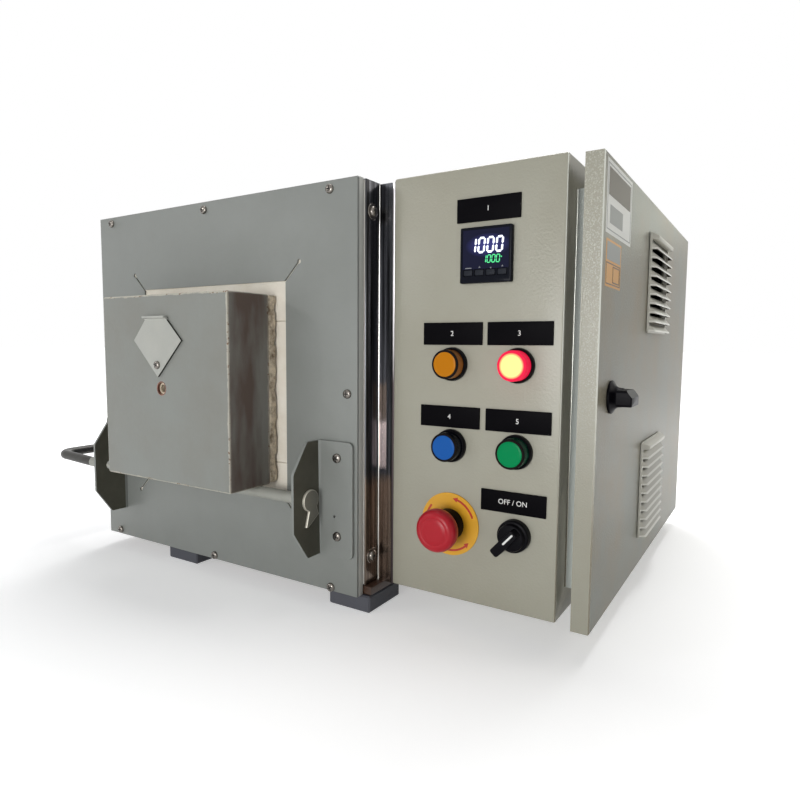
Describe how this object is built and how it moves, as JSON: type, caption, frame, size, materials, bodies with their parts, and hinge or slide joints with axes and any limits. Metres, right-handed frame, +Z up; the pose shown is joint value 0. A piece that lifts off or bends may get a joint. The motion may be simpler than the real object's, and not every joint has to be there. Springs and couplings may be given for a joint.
{
  "type": "industrial electric muffle furnace",
  "caption": "Bench-top electric muffle furnace with a drop-down door on a rod hinge, a swinging peephole cover and a control enclosure with lamps, a stop button and a selector.",
  "frame": {"origin": "middle of the footprint, on the surface the feet stand on", "axes": "+X towards the control enclosure's door, +Y from the furnace door to the back, +Z up"},
  "size_m": [0.7384, 0.6252, 0.4269],
  "materials": {
    "grey_paint": "grey-green enamel, satin",
    "graphite_paint": "dark slate paint, matte",
    "polished_stainless": "polished stainless sheet",
    "brown_steel": "dark brown painted steel",
    "beige_hammered_paint": "pebble grey hammered powder coat",
    "refractory": "off-white firebrick",
    "ceramic_fibre": "white ceramic fibre",
    "charred_fibre": "ceramic fibre board, browned at the edges",
    "raw_steel": "bare steel bar",
    "zinc_plate": "zinc plated steel",
    "resistance_alloy": "oxidised resistance wire",
    "black_plastic": "black moulded plastic",
    "gasket_foam": "black foam strip",
    "red_cap": "red moulded plastic",
    "yellow_disc": "yellow plastic disc",
    "amber_lens": "translucent amber lens",
    "red_lens": "translucent red lens",
    "blue_lens": "translucent blue lens",
    "green_lens": "translucent green lens",
    "key_grey": "dark grey key"
  },
  "bodies": {
    "furnace": {"front_plate": "grey_paint", "front_frame": "grey_paint", "back_cover": "grey_paint", "terminal_guard": "grey_paint", "bracket_left": "grey_paint", "bracket_right": "grey_paint", "foot_front_left": "graphite_paint", "foot_front_right": "graphite_paint", "foot_rear_left": "graphite_paint", "foot_rear_right": "graphite_paint", "casing": "polished_stainless", "spacer_channel": "polished_stainless", "base_frame": "brown_steel", "enclosure_body": "beige_hammered_paint", "hinge_upper": "beige_hammered_paint", "hinge_lower": "beige_hammered_paint", "hearth_brick": "refractory", "roof_brick": "refractory", "left_brick": "refractory", "right_brick": "refractory", "rear_brick": "refractory", "insulation_jacket": "ceramic_fibre", "rod_keeper": "raw_steel", "thermocouple": "zinc_plate", "mounting_plate": "zinc_plate", "solid_state_relay": "zinc_plate", "element_left": "resistance_alloy", "element_right": "resistance_alloy", "controller": "black_plastic", "lamp_amber": "black_plastic", "lamp_red": "black_plastic", "lamp_blue": "black_plastic", "lamp_green": "black_plastic", "estop_body": "black_plastic", "selector_body": "black_plastic", "contactor": "black_plastic", "cable_gland": "black_plastic", "estop_disc": "yellow_disc", "lens_amber": "amber_lens", "lens_red": "red_lens", "lens_blue": "blue_lens", "lens_green": "green_lens"},
    "furnace_door": {"door_shell": "grey_paint", "door_plug": "charred_fibre", "hinge_rod": "raw_steel", "lever_handle": "raw_steel"},
    "peephole_shutter": {"peephole_cover": "grey_paint"},
    "enclosure_hatch": {"enclosure_door": "beige_hammered_paint", "door_gasket": "gasket_foam", "vent_upper": "beige_hammered_paint", "vent_lower": "beige_hammered_paint"},
    "latch": {"latch_knob": "black_plastic", "latch_cam": "zinc_plate"},
    "stop_plunger": {"estop_plunger": "black_plastic"},
    "stop_head": {"estop_head": "red_cap"},
    "selector": {"selector_knob": "black_plastic"},
    "key_1": {"controller_key_1": "key_grey"},
    "key_2": {"controller_key_2": "key_grey"},
    "key_3": {"controller_key_3": "key_grey"},
    "key_4": {"controller_key_4": "key_grey"}
  },
  "joints": [
    {"name": "furnace_door_hinge", "type": "hinge", "parent": "furnace", "child": "furnace_door", "pos_m": [-0.08048, -0.25675, 0.1142], "axis": [1, 0, 0], "range_deg": [0, 90]},
    {"name": "peephole_cover_swing", "type": "hinge", "parent": "furnace_door", "child": "peephole_shutter", "pos_m": [-0.08397, -0.30205, 0.2456], "axis": [0, 1, 0], "continuous": true},
    {"name": "enclosure_door_hinge", "type": "hinge", "parent": "furnace", "child": "enclosure_hatch", "pos_m": [0.32322, 0.29645, 0.224], "axis": [0, 0, 1], "range_deg": [0, 120]},
    {"name": "latch_turn", "type": "hinge", "parent": "enclosure_hatch", "child": "latch", "pos_m": [0.34573, -0.16275, 0.224], "axis": [-1, 0, 0], "range_deg": [0, 90]},
    {"name": "estop_push", "type": "slide", "parent": "furnace", "child": "stop_plunger", "axis": [0, 1, 0], "range_m": [0, 0.005], "stiffness_N_per_m": 1200, "springref_m": -0.003},
    {"name": "estop_twist", "type": "hinge", "parent": "stop_plunger", "child": "stop_head", "pos_m": [0.21272, -0.22555, 0.0997], "axis": [0, 1, 0], "range_deg": [0, 45], "stiffness_Nm_per_rad": 0.08, "springref_deg": -8.59},
    {"name": "selector_turn", "type": "hinge", "parent": "furnace", "child": "selector", "pos_m": [0.27792, -0.21535, 0.0997], "axis": [0, -1, 0], "range_deg": [0, 90]},
    {"name": "key_1_push", "type": "slide", "parent": "furnace", "child": "key_1", "axis": [0, 1, 0], "range_m": [0, 0.0006], "stiffness_N_per_m": 300, "springref_m": -0.0005},
    {"name": "key_2_push", "type": "slide", "parent": "furnace", "child": "key_2", "axis": [0, 1, 0], "range_m": [0, 0.0006], "stiffness_N_per_m": 300, "springref_m": -0.0005},
    {"name": "key_3_push", "type": "slide", "parent": "furnace", "child": "key_3", "axis": [0, 1, 0], "range_m": [0, 0.0006], "stiffness_N_per_m": 300, "springref_m": -0.0005},
    {"name": "key_4_push", "type": "slide", "parent": "furnace", "child": "key_4", "axis": [0, 1, 0], "range_m": [0, 0.0006], "stiffness_N_per_m": 300, "springref_m": -0.0005}
  ]
}
